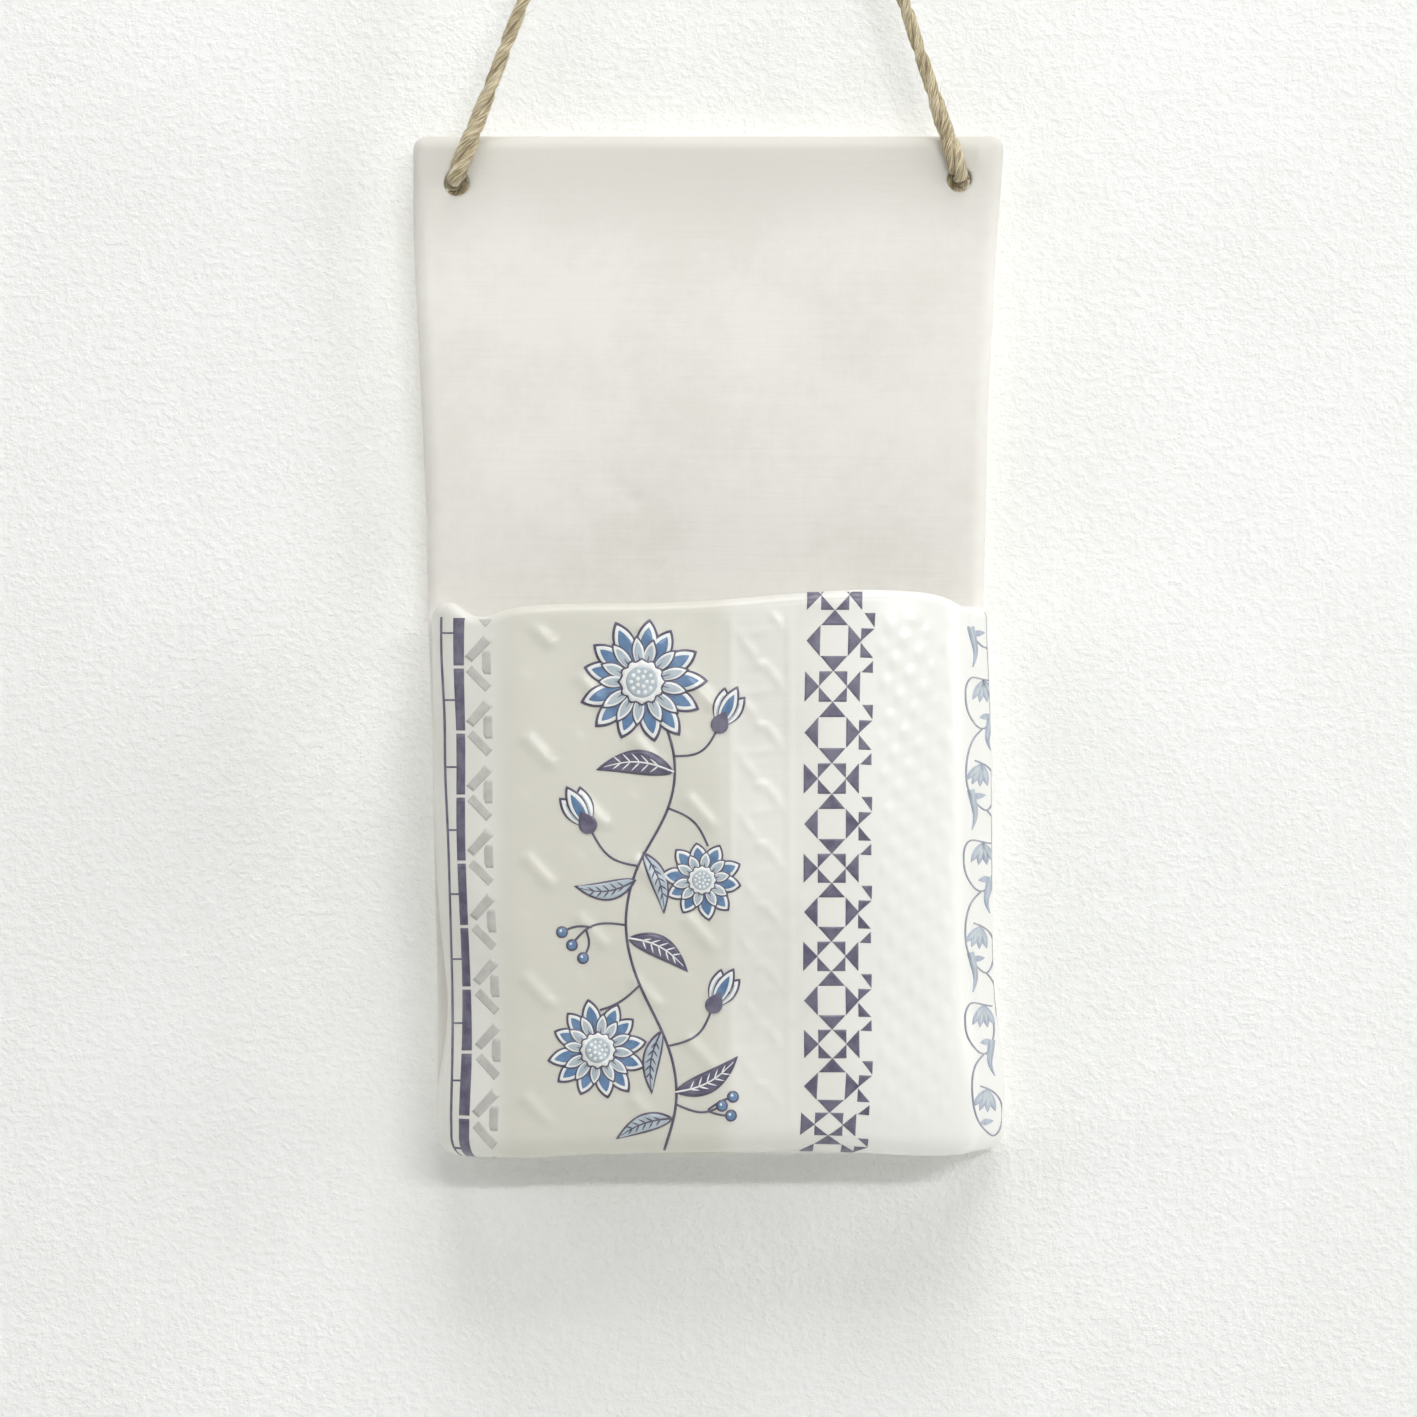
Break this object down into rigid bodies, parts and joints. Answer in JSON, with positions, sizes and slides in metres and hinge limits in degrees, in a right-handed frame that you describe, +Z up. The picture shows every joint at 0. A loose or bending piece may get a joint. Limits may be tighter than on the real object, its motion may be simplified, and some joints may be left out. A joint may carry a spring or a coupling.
{
  "type": "hanging wall vase",
  "caption": "Flat ceramic slab with an open bulging pocket on its lower half, hung by a twine that passes through its top corners and over a wall screw.",
  "frame": {"origin": "on the axis of the wall plug and its screw, at the wall's surface", "axes": "+Z up, +X to the viewer's right, +Y into the wall along the plug's axis; the vase's front faces -Y"},
  "size_m": [0.1045, 0.0592, 0.293],
  "materials": {
    "bare_clay": "matte, faint cloth texture",
    "glazed_clay": "satin glaze, coloured borders and pressed relief",
    "twine": "two-ply natural jute",
    "steel": "zinc plated",
    "plug": "moulded nylon"
  },
  "bodies": {
    "fixing": {"hanging_screw": "steel", "wall_plug": "plug"},
    "twine": {"hanging_twine": "twine"},
    "vase": {"back_slab": "bare_clay", "pocket_wall": "glazed_clay", "pocket_floor": "glazed_clay", "left_knot": "twine", "right_knot": "twine"}
  },
  "joints": [
    {"name": "swing", "type": "hinge", "parent": "fixing", "child": "twine", "pos_m": [0, -0.01364, 0], "axis": [0, 1, 0], "range_deg": [-25, 25]},
    {"name": "tilt", "type": "hinge", "parent": "twine", "child": "vase", "pos_m": [0, -0.01364, -0.1174], "axis": [-1, 0, 0], "range_deg": [0, 60]}
  ]
}
